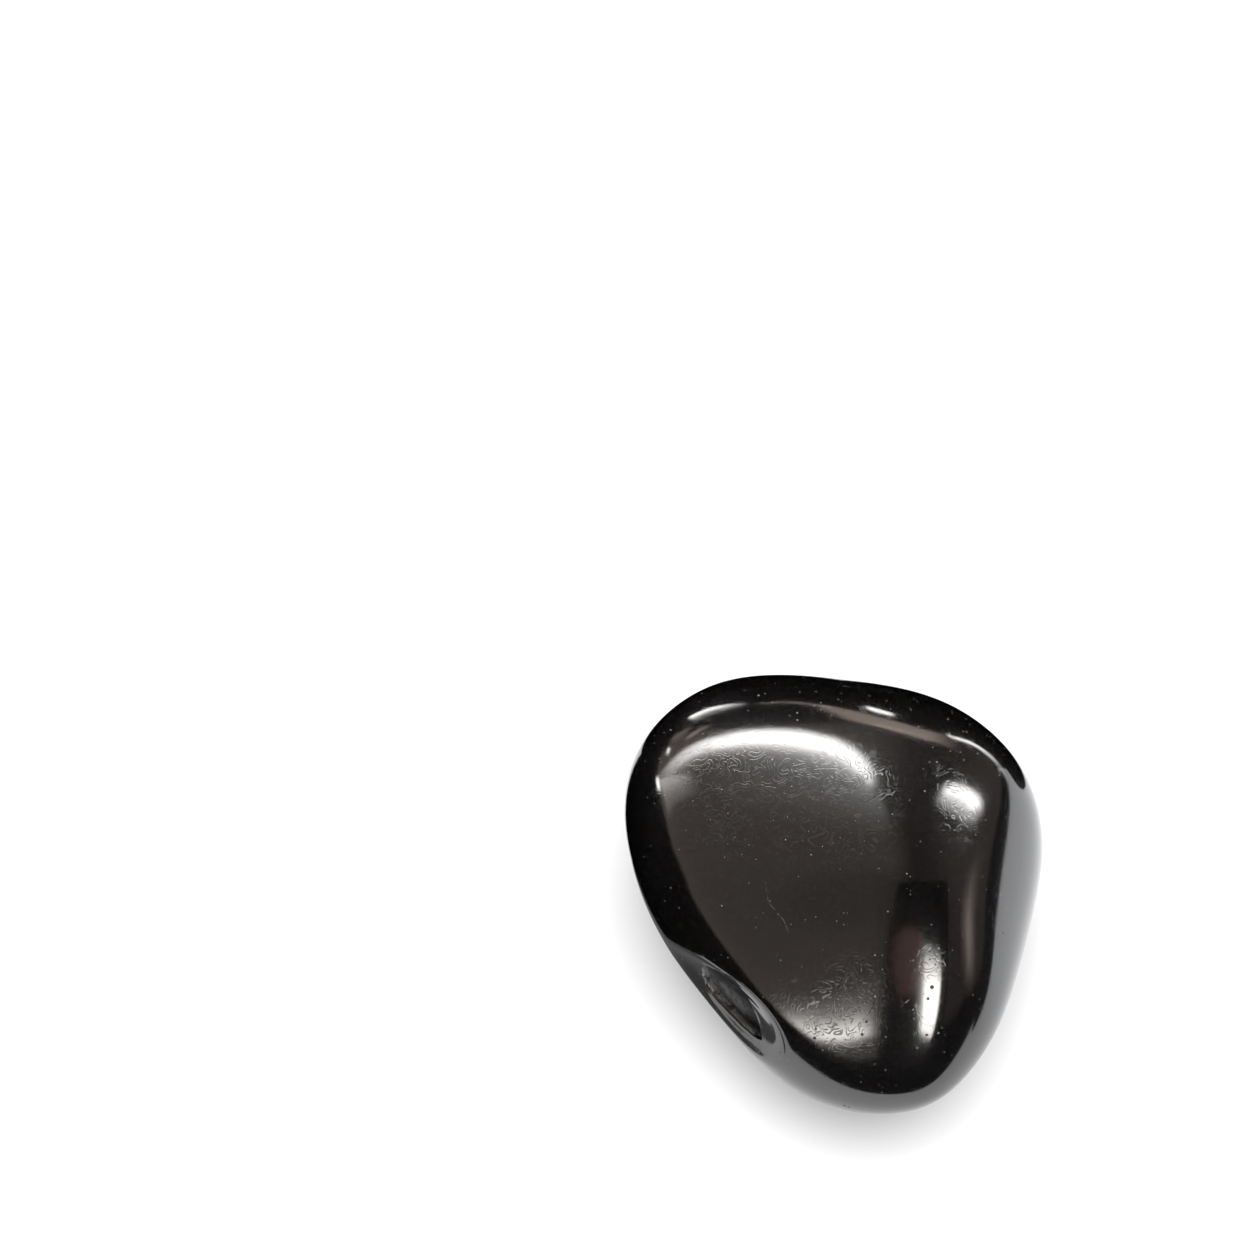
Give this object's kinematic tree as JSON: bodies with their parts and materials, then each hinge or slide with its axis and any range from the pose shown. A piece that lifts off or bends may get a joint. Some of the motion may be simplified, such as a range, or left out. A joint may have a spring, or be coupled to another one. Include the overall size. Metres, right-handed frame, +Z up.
{
  "type": "shungite rock",
  "caption": "Tumbled and polished black stone: a thick rounded triangle with a domed top, a low tip and a broken pit in a scooped hollow on one side; rests on a small flat spot.",
  "frame": {"origin": "on the surface that the stone rests on, under the middle of its bounding box", "axes": "+Z up from the resting spot, along the stone's shortest extent; +Y from the low tip to the thick end, along its longest extent; +X to the right when seen from the tip, so the pit is on the -X side of the tip"},
  "size_m": [0.0303, 0.0334, 0.0195],
  "materials": {
    "polished_shungite": "polished"
  },
  "bodies": {
    "root": {"shungite_stone": "polished_shungite"}
  },
  "joints": []
}
